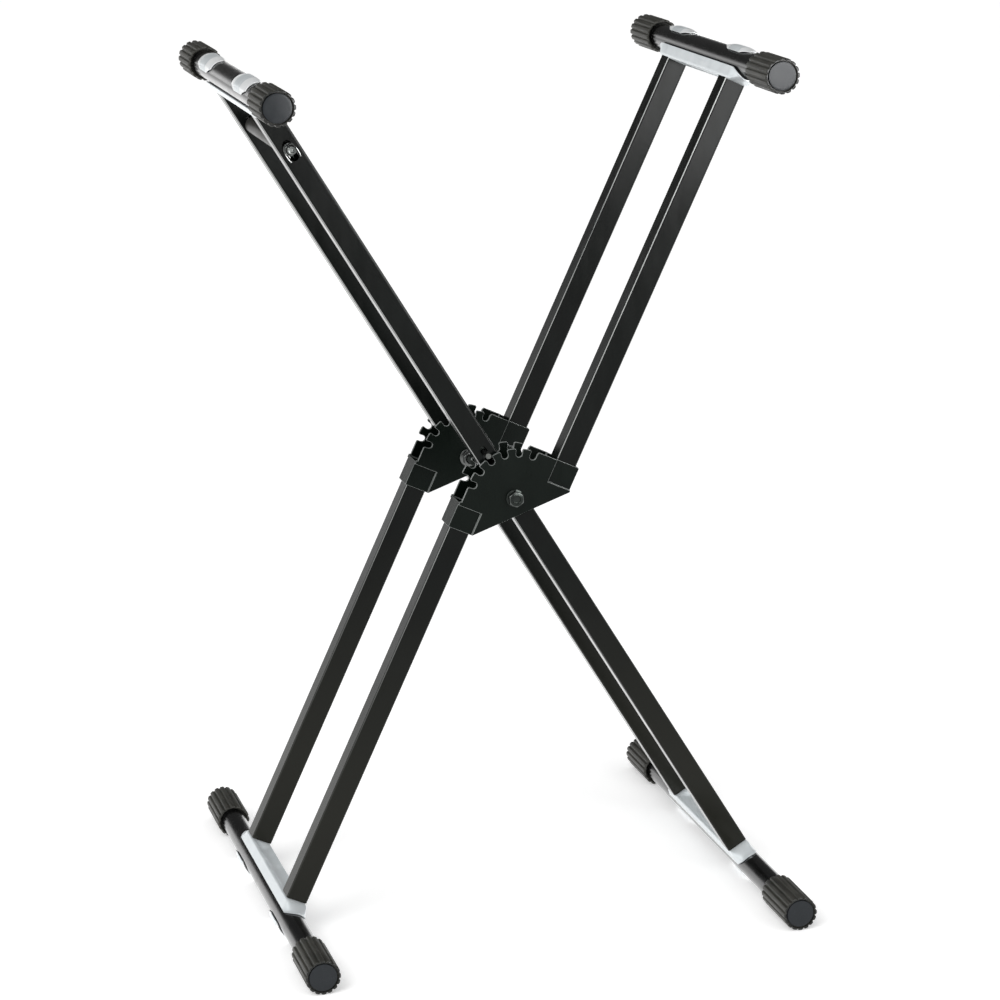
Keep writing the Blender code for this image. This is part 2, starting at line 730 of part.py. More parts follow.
def add_pivot(side, sign, outer_frame, inner_frame):
    """Bolt, flange nut and bushes of one pivot; the bolt's head faces outward."""
    turn = math.pi if sign > 0 else 0.0
    at = (0, sign * LEG_PLANE, 0)
    rotation = (0, 0, turn)
    head_seat = -CHEEK_OUTSIDE - FIT_GAP
    flange_top = head_seat - BOLT_FLANGE_THICKNESS
    head_top = flange_top - BOLT_HEAD_HEIGHT
    nut_start = CHEEK_OUTSIDE + FIT_GAP
    nut_end = nut_start + NUT_FLANGE_THICKNESS + NUT_HEIGHT
    tail = nut_end + BOLT_TAIL
    bolt_mesh = stacked(
        "bolt",
        [
            (BOLT_FLANGE_RADIUS - BOLT_CHAMFER, flange_top),
            (BOLT_FLANGE_RADIUS, flange_top + BOLT_CHAMFER),
            (BOLT_FLANGE_RADIUS, head_seat),
            (BOLT_RADIUS, head_seat),
            (BOLT_RADIUS, tail - BOLT_CHAMFER),
            (BOLT_RADIUS - BOLT_CHAMFER, tail),
        ],
        MEDIUM_ROUND,
    )
    bolt = add_part(f"pivot_bolt_{side}", bolt_mesh, "black_steel", outer_frame, at, rotation)
    outline = hexagon_outline(BOLT_HEAD_ACROSS_FLATS)
    hexagon = prism("hexagon", [outline], head_top, flange_top + BOLT_FLANGE_THICKNESS / 2, "Y")
    head = add_cutter(f"{side}_bolt_head", hexagon, outer_frame, at, rotation)
    apply_tool(bolt, head, "UNION")
    recess = round_bar(
        "recess",
        BOLT_RECESS_RADIUS,
        head_top - BOLT_RECESS_DEPTH,
        head_top + BOLT_RECESS_DEPTH,
    )
    apply_tool(bolt, add_cutter(f"{side}_bolt_recess", recess, outer_frame, at, rotation))
    add_flange_nut(
        f"pivot_nut_{side}",
        outer_frame,
        at,
        rotation,
        BOLT_RADIUS + FIT_GAP,
        (nut_start, nut_end),
        (NUT_ACROSS_FLATS, NUT_FLANGE_RADIUS, NUT_FLANGE_THICKNESS),
    )
    for label, bush_turn in (("outside", turn), ("inside", turn + math.pi)):
        bush = turned(
            "bush",
            [
                (BOLT_RADIUS + FIT_GAP, -CHEEK_INSIDE + FIT_GAP),
                (BUSH_FLANGE_RADIUS, -CHEEK_INSIDE + FIT_GAP),
                (BUSH_FLANGE_RADIUS, -HALF_TUBE - FIT_GAP),
                (BUSH_RADIUS, -HALF_TUBE - FIT_GAP),
                (BUSH_RADIUS, -FIT_GAP / 2),
                (BOLT_RADIUS + FIT_GAP, -FIT_GAP / 2),
            ],
            MEDIUM_ROUND,
        )
        name = f"pivot_bush_{side}_{label}"
        add_part(name, bush, "nylon", inner_frame, at, (0, 0, bush_turn))


def add_release(inner_frame):
    """Pull-up handle between the inner legs, with the rods and pins that it lifts."""
    release = make_empty("release_slide", inner_frame, (0, 0, PIN_REST))
    rise = HANDLE_REST - PIN_REST
    leg_outside = LEG_PLANE + HALF_TUBE
    leg_inside = LEG_PLANE - HALF_TUBE
    rod_half = leg_outside + HANDLE_ROD_PROUD
    rod = round_bar("handle_rod", HANDLE_ROD_RADIUS, -rod_half, rod_half, HANDLE_ROD_CHAMFER)
    add_part("release_handle_rod", rod, "zinc_hardware", release, (0, 0, rise))
    add_part("release_grip", grip_mesh(leg_inside), "grip_plastic", release, (0, 0, rise))
    for side, sign in SIDES.items():
        rotation = (0, 0, math.pi if sign > 0 else 0.0)
        nut_seat = -leg_outside - 2 * FIT_GAP
        add_flange_nut(
            f"release_handle_nut_{side}",
            release,
            (0, 0, rise),
            rotation,
            HANDLE_ROD_RADIUS + FIT_GAP,
            (nut_seat, nut_seat - HANDLE_NUT_HEIGHT - HANDLE_NUT_FLANGE_THICKNESS),
            (HANDLE_NUT_ACROSS_FLATS, HANDLE_NUT_FLANGE_RADIUS, HANDLE_NUT_FLANGE_THICKNESS),
        )
        at = (0, sign * LEG_PLANE, 0)
        pin_end = HALF_TUBE - TUBE_WALL - 2 * FIT_GAP
        pin_start = -CHEEK_OUTSIDE - PIN_PROUD
        pin = round_bar("lock_pin", PIN_RADIUS, pin_start, pin_end, PIN_CHAMFER)
        add_part(f"lock_pin_{side}", pin, "zinc_hardware", release, at, rotation)
        add_pull_rod(side, release, at, rise)
        add_return_spring(side, inner_frame, sign)


def grip_mesh(half_length):
    """Smooth round plastic grip."""
    clear = half_length - FIT_GAP
    inner = GRIP_RADIUS - GRIP_WALL
    edge = GRIP_RADIUS - GRIP_CHAMFER
    profile = [
        (inner, -clear),
        (edge, -clear),
        (GRIP_RADIUS, -clear + GRIP_CHAMFER),
        (GRIP_RADIUS, clear - GRIP_CHAMFER),
        (edge, clear),
        (inner, clear),
    ]
    return turned("grip", profile, MEDIUM_ROUND)


def add_pull_rod(side, release, at, rise):
    """Round rod inside a leg, with a spring collar, and an eye for the pin and for the handle."""
    eyes = (("pin", 0.0, PIN_RADIUS), ("handle", rise, HANDLE_ROD_RADIUS))
    collar_start = COLLAR_TOP - COLLAR_THICKNESS
    rod = stacked(
        "pull_rod",
        [
            (PULL_ROD_RADIUS, -rise),
            (PULL_ROD_RADIUS, -COLLAR_TOP),
            (COLLAR_RADIUS, -COLLAR_TOP),
            (COLLAR_RADIUS, -collar_start),
            (PULL_ROD_RADIUS, -collar_start),
            (PULL_ROD_RADIUS, 0.0),
        ],
        SMALL_ROUND,
    )
    rod.transform(Matrix.Rotation(-math.pi / 2, 4, "X"))
    item = add_part(f"pull_rod_{side}", rod, "spring_steel", release, at)
    for label, height, held in eyes:
        where = (at[0], at[1], height)
        outer = held + FIT_GAP + EYE_WALL
        eye = round_bar("eye", outer, -EYE_WIDTH / 2, EYE_WIDTH / 2)
        apply_tool(item, add_cutter(f"{side}_{label}_eye", eye, release, where), "UNION")
    for label, height, held in eyes:
        where = (at[0], at[1], height)
        hole = round_bar("eye_hole", held + FIT_GAP, -EYE_WIDTH, EYE_WIDTH)
        apply_tool(item, add_cutter(f"{side}_{label}_eye_hole", hole, release, where))


def add_return_spring(side, inner_frame, sign):
    """Compression spring on the pull rod, with the fixed stop above it."""
    low = PIN_REST + COLLAR_TOP + FIT_GAP
    high = low + SPRING_LENGTH
    points = []
    steps = SPRING_TURNS * SPRING_POINTS
    for step in range(steps + 1):
        angle = 2 * math.pi * step / SPRING_POINTS
        height = low + SPRING_WIRE_RADIUS
        height += (high - low - 2 * SPRING_WIRE_RADIUS) * step / steps
        points.append((SPRING_RADIUS * math.cos(angle), SPRING_RADIUS * math.sin(angle), height))
    curve = bpy.data.curves.new("spring", "CURVE")
    curve.dimensions = "3D"
    curve.bevel_depth = SPRING_WIRE_RADIUS
    curve.bevel_resolution = 1
    curve.use_fill_caps = True
    spline = curve.splines.new("POLY")
    spline.points.add(len(points) - 1)
    for target, point in zip(spline.points, points):
        target.co = (*point, 1)
    at = (0, sign * LEG_PLANE, 0)
    spring = mesh_of_curve(curve)
    add_part(f"return_spring_{side}", spring, "spring_steel", inner_frame, at)
    coil_gap = (high - low - 2 * SPRING_WIRE_RADIUS) / SPRING_TURNS - 2 * SPRING_WIRE_RADIUS
    print(f"{side} return spring, least gap between turns {coil_gap * 1000:.2f} mm")
    stop = pipe(
        "spring_stop",
        TUBE_SIDE / 2 - TUBE_WALL - FIT_GAP,
        PULL_ROD_RADIUS + FIT_GAP,
        high + FIT_GAP,
        high + STOP_THICKNESS,
        SMALL_ROUND,
    )
    stop.transform(Matrix.Rotation(math.pi / 2, 4, "X"))
    add_part(f"spring_stop_{side}", stop, "nylon", inner_frame, at)


def build_stand():
    """Build both frames about the pivot line and turn them apart."""
    outer = make_empty("outer_frame", None, (0, 0, PIVOT_HEIGHT), OUTER_LEAN)
    inner = make_empty("inner_frame", None, (0, 0, PIVOT_HEIGHT), -INNER_LEAN)
    add_outer_legs(outer)
    add_inner_legs(inner)
    add_level("outer_top", outer, (LEG_OFFSET, 0, LEG_LENGTH), OUTER_LEAN, True)
    add_level("outer_base", outer, (-LEG_OFFSET, 0, -LEG_LENGTH), OUTER_LEAN, False)
    add_level("inner_top", inner, (0, 0, LEG_LENGTH), -INNER_LEAN, True)
    add_level("inner_base", inner, (0, 0, -LEG_LENGTH), -INNER_LEAN, False)
    for side, sign in SIDES.items():
        add_pivot(side, sign, outer, inner)
    add_release(inner)


build_stand()
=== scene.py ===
"""Looks of the folding keyboard stand: finer pieces, materials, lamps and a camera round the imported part.

Each piece that is added to the stand replaces one CAD node, apart from the rails beside the slots.
Legs, pull rods, spring stops and bushes keep their CAD shapes and only get a material.
Units are metres, +Z is up, and the stand is drawn at rest.
"""

import math

import bmesh
import bpy
from mathutils import Matrix, Vector


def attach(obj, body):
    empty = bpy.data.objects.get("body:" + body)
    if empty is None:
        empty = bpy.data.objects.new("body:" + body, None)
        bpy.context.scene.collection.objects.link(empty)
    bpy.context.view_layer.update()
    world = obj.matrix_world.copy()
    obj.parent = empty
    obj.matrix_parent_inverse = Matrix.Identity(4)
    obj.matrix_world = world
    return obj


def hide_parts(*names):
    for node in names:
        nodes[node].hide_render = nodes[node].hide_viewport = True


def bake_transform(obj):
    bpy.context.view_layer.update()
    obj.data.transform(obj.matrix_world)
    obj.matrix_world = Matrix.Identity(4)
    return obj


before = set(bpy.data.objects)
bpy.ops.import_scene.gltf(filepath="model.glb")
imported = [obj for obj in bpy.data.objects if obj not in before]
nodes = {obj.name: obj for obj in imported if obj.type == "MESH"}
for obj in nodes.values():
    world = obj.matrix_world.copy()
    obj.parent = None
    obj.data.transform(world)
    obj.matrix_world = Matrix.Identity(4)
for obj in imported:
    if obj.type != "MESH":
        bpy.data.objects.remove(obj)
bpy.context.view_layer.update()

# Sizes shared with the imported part, in metres
LEG_SPACING = 0.175          # between the middle planes of the front and rear legs
LEG_LENGTH = 0.475           # pivot line to a crossbar's axis, along a leg
LEG_OFFSET = 0.037           # each half of an outer leg stands this far beside the pivot line
OPENING = math.radians(56.4)
TUBE_SIDE = 0.022
FIT_GAP = 0.0003             # between pieces that touch
BAR_RADIUS = 0.0125
BAR_WALL = 0.0015
BAR_INSET = 0.003            # a crossbar's tube ends this far inside its caps
BAR_TO_LEG = 0.0193          # crossbar axis to the end of a leg
TOP_HALF = 0.207             # half of a top crossbar, over the caps
BASE_HALF = 0.256            # half of a base crossbar, over the caps
CAP_RADIUS = 0.01725         # axis to the crest of a rib
CAP_RIBS = 16
TOP_CAP = 0.057
BASE_CAP = 0.066
CHEEK_OUTSIDE = 0.0167       # leg plane to the outer face of a bracket's cheek
BOLT_RADIUS = 0.004
BOLT_TAIL = 0.0115           # thread showing past the nut
BOLT_HEAD = {"across_flats": 0.014, "height": 0.0055, "flange_radius": 0.009, "flange": 0.0015}
PIVOT_NUT = {"across_flats": 0.013, "height": 0.0065, "flange_radius": 0.0095, "flange": 0.0016}
HANDLE_NUT = {"across_flats": 0.0105, "height": 0.0045, "flange_radius": 0.0062, "flange": 0.0012}
PIN_REST = 0.0531            # pivot line to a lock pin, as modelled
PIN_RADIUS = 0.003
PIN_CHAMFER = 0.0006
PIN_OUTER_END = -0.0227      # from the leg plane, outward
PIN_INNER_END = 0.0089
HANDLE_REST = 0.4128         # pivot line to the handle rod, as modelled
HANDLE_SEAT = 0.404          # pivot line to the handle rod with the pins seated
ROD_RADIUS = 0.004
ROD_PROUD = 0.0105           # handle rod past a leg's outer face
GRIP_RADIUS = 0.008
SPRING_LOW = 0.0615          # pivot line to the return springs' ends, as modelled
SPRING_HIGH = 0.1015
SPRING_TURNS = 7
SPRING_RADIUS = 0.0062       # coil's centre line
SPRING_WIRE_RADIUS = 0.0008

# Sizes that only the scene has
HAIR_GAP = 0.0002            # between a cap or clamp plate and the tube
GRIP_BORE = 0.0044
THREAD_PITCH = 0.0011
THREAD_DEPTH = 0.0004
ROUND_POINTS = 96            # points round a turned piece
WELD_DISTANCE = 1e-6

# Places that follow from the sizes
SIDES = {"front": -1, "rear": 1}
LEG_PLANE = LEG_SPACING / 2
HALF_TUBE = TUBE_SIDE / 2
OUTER_LEAN = math.atan2(1 - math.cos(OPENING), math.sin(OPENING) + LEG_OFFSET / LEG_LENGTH)
INNER_LEAN = OPENING - OUTER_LEAN
PIVOT_HEIGHT = LEG_LENGTH * math.cos(INNER_LEAN) + CAP_RADIUS
BOLT_SEAT = -CHEEK_OUTSIDE - FIT_GAP
NUT_BORE = BOLT_RADIUS + FIT_GAP
OUTER = Matrix.Translation((0, 0, PIVOT_HEIGHT)) @ Matrix.Rotation(OUTER_LEAN, 4, "Y")
INNER = Matrix.Translation((0, 0, PIVOT_HEIGHT)) @ Matrix.Rotation(-INNER_LEAN, 4, "Y")


# Material nodes
def new_material(name):
    material = bpy.data.materials.new(name)
    material.use_nodes = True
    tree = material.node_tree
    return material, tree, tree.nodes["Principled BSDF"]


def link(tree, source, target):
    tree.links.new(source, target)


def feed(tree, value, socket):
    """Link an output to a socket, or set the socket to a fixed value."""
    if isinstance(value, bpy.types.NodeSocket):
        link(tree, value, socket)
    else:
        socket.default_value = value


def arithmetic(tree, operation, *values):
    """Math node on outputs or fixed values."""
    node = tree.nodes.new("ShaderNodeMath")
    node.operation = operation
    for value, socket in zip(values, node.inputs):
        feed(tree, value, socket)
    return node.outputs[0]


def blend(tree, factor, first, second, data_type="FLOAT"):
    """Mix two numbers, or two colours with data_type RGBA."""
    node = tree.nodes.new("ShaderNodeMix")
    node.data_type = data_type
    for name, value in (("Factor", factor), ("A", first), ("B", second)):
        feed(tree, value, node.inputs[name])
    return node.outputs["Result"]


def object_place(tree):
    """Place on the piece, in its own coordinates."""
    return tree.nodes.new("ShaderNodeTexCoord").outputs["Object"]


def axis_of(tree, vector, axis):
    """One axis of a vector."""
    node = tree.nodes.new("ShaderNodeSeparateXYZ")
    link(tree, vector, node.inputs["Vector"])
    return node.outputs[axis]


def noise(tree, scale, detail, roughness, stretch=(1, 1, 1)):
    """Noise on the piece's own coordinates, stretched along any axis."""
    mapping = tree.nodes.new("ShaderNodeMapping")
    mapping.inputs["Scale"].default_value = stretch
    texture = tree.nodes.new("ShaderNodeTexNoise")
    texture.inputs["Scale"].default_value = scale
    texture.inputs["Detail"].default_value = detail
    texture.inputs["Roughness"].default_value = roughness
    link(tree, object_place(tree), mapping.inputs["Vector"])
    link(tree, mapping.outputs["Vector"], texture.inputs["Vector"])
    return texture.outputs["Fac"]


def spread(tree, value, low, high, start=0.3, end=0.7, interpolation="LINEAR"):
    """Map the values from start to end to the range from low to high."""
    node = tree.nodes.new("ShaderNodeMapRange")
    node.interpolation_type = interpolation
    node.inputs["From Min"].default_value = start
    node.inputs["From Max"].default_value = end
    node.inputs["To Min"].default_value = low
    node.inputs["To Max"].default_value = high
    link(tree, value, node.inputs["Value"])
    return node.outputs["Result"]


def two_colours(tree, value, first, second, start=0.35, end=0.65):
    """Blend two colours by a noise value."""
    ramp = tree.nodes.new("ShaderNodeValToRGB")
    ramp.color_ramp.elements[0].position = start
    ramp.color_ramp.elements[0].color = (*first, 1)
    ramp.color_ramp.elements[1].position = end
    ramp.color_ramp.elements[1].color = (*second, 1)
    link(tree, value, ramp.inputs["Fac"])
    return ramp.outputs["Color"]


def bump(tree, shader, heights):
    """Chain bumps of (height, strength, distance)."""
    last = None
    for height, strength, distance in heights:
        node = tree.nodes.new("ShaderNodeBump")
        node.inputs["Strength"].default_value = strength
        node.inputs["Distance"].default_value = distance
        link(tree, height, node.inputs["Height"])
        if last is not None:
            link(tree, last, node.inputs["Normal"])
        last = node.outputs["Normal"]
    link(tree, last, shader.inputs["Normal"])


# Materials
def painted_warm_light_low_down(tree, colours):
    """Painted warm light on the lower part of the legs: the coat is painted warmer and lighter, most toward
    the floor.
    """
    # Painted light: a warmer, lighter tone than the coat, for the light low down on the legs.
    dust_and_warm_light = (0.0185, 0.0188, 0.0155, 1)
    height = axis_of(tree, object_place(tree), "Z")
    share = spread(tree, height, low=1, high=0, start=0.12, end=0.36)
    return blend(tree, share, colours, dust_and_warm_light, "RGBA")


def painted_corner_highlights(tree, shader, colours):
    """Painted highlight where a square tube's corners turn between its sides, as a lighter metallic colour
    that is stronger higher up.
    """
    # Painted highlight: this colour stands in for the light that the rounded corners catch.
    highlight_colour = (0.22, 0.225, 0.22, 1)
    geometry = tree.nodes.new("ShaderNodeNewGeometry")
    across = arithmetic(tree, "ABSOLUTE", axis_of(tree, geometry.outputs["Normal"], "Y"))
    past_one_side = spread(tree, across, low=0, high=1, start=0.45, end=0.60)
    before_the_next = spread(tree, across, low=1, high=0, start=0.80, end=0.92)
    corner = arithmetic(tree, "MULTIPLY", past_one_side, before_the_next)
    height = axis_of(tree, object_place(tree), "Z")
    higher_up = spread(tree, height, low=0.08, high=1, start=0.16, end=0.44)
    painted_highlight = arithmetic(tree, "MULTIPLY", corner, higher_up)
    link(tree, blend(tree, painted_highlight, colours, highlight_colour, "RGBA"), shader.inputs["Base Color"])
    link(tree, painted_highlight, shader.inputs["Metallic"])


def satin_paint(name, dark, light, roughness, specular, is_leg=False):
    """Satin coat with a fine orange-peel grain and faint patches of handling."""
    material, tree, shader = new_material(name)
    patches = noise(tree, scale=14, detail=4, roughness=0.6)
    grain = noise(tree, scale=900, detail=2, roughness=0.5)
    scuffs = noise(tree, scale=60, detail=6, roughness=0.7, stretch=(1, 1, 0.15))
    colours = two_colours(tree, patches, dark, light)
    # On the legs the colour also gets painted warm light low down and painted highlights along the corners.
    if is_leg:
        painted_corner_highlights(tree, shader, painted_warm_light_low_down(tree, colours))
    else:
        link(tree, colours, shader.inputs["Base Color"])
    link(tree, spread(tree, scuffs, roughness - 0.05, roughness + 0.07), shader.inputs["Roughness"])
    shader.inputs["Specular IOR Level"].default_value = specular
    bump(tree, shader, [(grain, 0.10, 0.0002), (patches, 0.04, 0.001)])
    return material


def metal(name, dark, light, roughness, metallic):
    """Plated or bare metal with faint drawn lines, cloudy patches and a fine grain."""
    material, tree, shader = new_material(name)
    clouds = noise(tree, scale=35, detail=5, roughness=0.65)
    lines = noise(tree, scale=420, detail=3, roughness=0.6, stretch=(1, 0.06, 1))
    speckle = noise(tree, scale=1600, detail=2, roughness=0.5)
    link(tree, two_colours(tree, clouds, dark, light, 0.3, 0.7), shader.inputs["Base Color"])
    link(tree, spread(tree, clouds, roughness - 0.06, roughness + 0.08), shader.inputs["Roughness"])
    shader.inputs["Metallic"].default_value = metallic
    bump(tree, shader, [(lines, 0.03, 0.0002), (speckle, 0.03, 0.0001)])
    return material


def moulded(name, dark, light, roughness, specular=0.35, streaked=False):
    """Moulded rubber or plastic with a dusty bloom, and with fine streaks along the piece if asked."""
    material, tree, shader = new_material(name)
    stretch = (1, 0.05, 1) if streaked else (1, 1, 1)
    streaks = noise(tree, scale=500, detail=4, roughness=0.65, stretch=stretch)
    dust_and_warm_light = noise(tree, scale=45, detail=5, roughness=0.7)
    grain = noise(tree, scale=1300, detail=2, roughness=0.5)
    half_dust = arithmetic(tree, "MULTIPLY", dust_and_warm_light, 0.5)
    mottling = arithmetic(tree, "MULTIPLY_ADD", streaks, 0.5, half_dust)
    link(tree, two_colours(tree, mottling, dark, light, 0.36, 0.62), shader.inputs["Base Color"])
    link(tree, spread(tree, dust_and_warm_light, roughness - 0.06, roughness + 0.08), shader.inputs["Roughness"])
    shader.inputs["Specular IOR Level"].default_value = specular
    bump(tree, shader, [(streaks, 0.12, 0.0002), (grain, 0.2, 0.0002)])
    return material


PAINT = satin_paint(
    "black_powder_coat",
    dark=(0.0034, 0.0042, 0.0037),
    light=(0.0054, 0.0066, 0.0059),
    roughness=0.17,
    specular=0.07,
    is_leg=True,
)
BRACKET_PAINT = satin_paint(
    "black_bracket_paint",
    dark=(0.0016, 0.0036, 0.0024),
    light=(0.0034, 0.0060, 0.0044),
    roughness=0.28,
    specular=0.06,
)
# Painted highlight: a lighter coat on the brackets' cut and rounded edges, for the light that their edges
# catch.
EDGE_HIGHLIGHT_PAINT = satin_paint(
    "bracket_edges_painted_highlight",
    dark=(0.11, 0.12, 0.115),
    light=(0.21, 0.225, 0.215),
    roughness=0.3,
    specular=0.4,
)
BAR_PAINT = satin_paint(
    "crossbar_paint",
    dark=(0.0030, 0.0032, 0.0031),
    light=(0.0054, 0.0054, 0.0054),
    roughness=0.19,
    specular=0.55,
)
DARK_STEEL = metal(
    "black_steel",
    dark=(0.006, 0.008, 0.007),
    light=(0.014, 0.017, 0.015),
    roughness=0.24,
    metallic=0.8,
)
# Painted highlight: a lighter copy of the black steel for the outer rim of the bolt heads.
STEEL_RIM_HIGHLIGHT = metal(
    "black_steel_rim_highlight",
    dark=(0.050, 0.055, 0.053),
    light=(0.09, 0.095, 0.09),
    roughness=0.22,
    metallic=0.9,
)
ZINC = metal(
    "bright_zinc",
    dark=(0.64, 0.685, 0.705),
    light=(0.75, 0.79, 0.805),
    roughness=0.34,
    metallic=0.30,
)
# Painted highlight: a whiter copy of the zinc for the clamp plates' sloping ends, where the light falls
# brighter.
ZINC_SLOPE_HIGHLIGHT = metal(
    "zinc_slopes_painted_highlight",
    dark=(0.86, 0.88, 0.885),
    light=(0.92, 0.935, 0.94),
    roughness=0.3,
    metallic=0.25,
)
RAIL_STEEL = metal(
    "zinc_hardware",
    dark=(0.22, 0.225, 0.225),
    light=(0.38, 0.385, 0.38),
    roughness=0.22,
    metallic=0.9,
)
NUT_STEEL = metal(
    "nut_steel",
    dark=(0.06, 0.064, 0.063),
    light=(0.13, 0.135, 0.13),
    roughness=0.24,
    metallic=0.9,
)
PIN_STEEL = metal(
    "pin_steel",
    dark=(0.050, 0.052, 0.049),
    light=(0.088, 0.090, 0.085),
    roughness=0.34,
    metallic=0.9,
)
SPRING_STEEL = metal(
    "spring_steel",
    dark=(0.22, 0.22, 0.23),
    light=(0.34, 0.34, 0.35),
    roughness=0.28,
    metallic=0.92,
)
RUBBER = moulded(
    "cap_rubber",
    dark=(0.013, 0.013, 0.011),
    light=(0.048, 0.047, 0.040),
    roughness=0.5,
    specular=0.3,
    streaked=True,
)
DISC = moulded(
    "disc_plastic",
    dark=(0.019, 0.022, 0.025),
    light=(0.024, 0.0275, 0.031),
    roughness=0.22,
    specular=0.15,
)
# Painted shade: a darker, glossier copy of the cap rubber for the caps' end faces, which lie in shade.
SHADED_CAP_END = moulded(
    "cap_rubber_end_painted_shade",
    dark=(0.009, 0.0095, 0.009),
    light=(0.019, 0.020, 0.019),
    roughness=0.24,
    specular=0.22,
)
GRIP = moulded(
    "grip_plastic",
    dark=(0.018, 0.0175, 0.015),
    light=(0.034, 0.033, 0.029),
    roughness=0.46,
    streaked=True,
)
NYLON = moulded(
    "nylon",
    dark=(0.50, 0.49, 0.45),
    light=(0.62, 0.61, 0.57),
    roughness=0.45,
)


# Geometry
def new_piece(name, bm, material, matrix, body, replaced, sharp=32):
    """Make a piece of the mesh in its place and tie it to its CAD body, if one is given."""
    mesh = bpy.data.meshes.new(name)
    bmesh.ops.transform(bm, matrix=matrix, verts=bm.verts)
    bmesh.ops.remove_doubles(bm, verts=bm.verts, dist=WELD_DISTANCE)
    bmesh.ops.recalc_face_normals(bm, faces=bm.faces)
    bm.to_mesh(mesh)
    bm.free()
    mesh.shade_smooth()
    mesh.set_sharp_from_angle(angle=math.radians(sharp))
    mesh.materials.append(material)
    piece = bpy.data.objects.new(name, mesh)
    bpy.context.scene.collection.objects.link(piece)
    if body is not None:
        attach(piece, body)
    if replaced:
        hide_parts(*replaced)
    return piece


def second_material(bm, test):
    """Give the faces whose middle passes the test the piece's second material."""
    for face in bm.faces:
        if test(face.calc_center_median()):
            face.material_index = 1


def skin(bm, rows, closed_across=False):
    """Faces between rows of points."""
    made = [[bm.verts.new(point) for point in row] for row in rows]
    for first, second in zip(made, made[1:]):
        count = len(first)
        for index in range(count if closed_across else count - 1):
            following = (index + 1) % count
            corners = [first[index], first[following], second[following], second[index]]
            bm.faces.new(corners)
    return made


def capped(bm, rows):
    """Faces between closed rows of points, and one across each end."""
    made = skin(bm, rows, closed_across=True)
    bm.faces.new(made[0])
    bm.faces.new(list(reversed(made[-1])))


def ring_of(place, radius_at, count=ROUND_POINTS, start=0.0):
    """Ring of points about Y, whose radius may follow the angle."""
    row = []
    for step in range(count):
        angle = start + 2 * math.pi * step / count
        radius = radius_at(angle) if callable(radius_at) else radius_at
        row.append((radius * math.cos(angle), place, radius * math.sin(angle)))
    return row


def lathe(profile, points=ROUND_POINTS):
    """Turn (radius, place) points about the local Y axis."""
    bm = bmesh.new()
    rows = [ring_of(place, radius, points) for radius, place in profile]
    skin(bm, rows, closed_across=True)
    return bm


def smooth(value):
    """Ease from 0 to 1."""
    value = min(max(value, 0.0), 1.0)
    return value * value * (3 - 2 * value)


def bevel(piece, width, angle):
    """Round a piece's edges that are sharper than the angle, in degrees."""
    modifier = piece.modifiers.new("edges", "BEVEL")
    modifier.width = width
    modifier.segments = 2
    modifier.limit_method = "ANGLE"
    modifier.angle_limit = math.radians(angle)
    modifier.harden_normals = True
    return modifier


def thicken(piece, thickness, offset):
    """Give a sheet its thickness and round its edges."""
    modifier = piece.modifiers.new("thickness", "SOLIDIFY")
    modifier.thickness = thickness
    modifier.offset = offset
    bevel(piece, width=0.0003, angle=50)


# Crossbars, caps, discs, saddles and clamp plates
def crossbar_piece(prefix, body, matrix, half):
    """Round tube of a crossbar."""
    end = half - BAR_INSET
    bore = BAR_RADIUS - BAR_WALL
    bm = lathe([(bore, -end), (BAR_RADIUS, -end), (BAR_RADIUS, end), (bore, end), (bore, -end)])
    name = f"{prefix}_crossbar"
    new_piece(f"{name}_tube", bm, BAR_PAINT, matrix, body, [name])


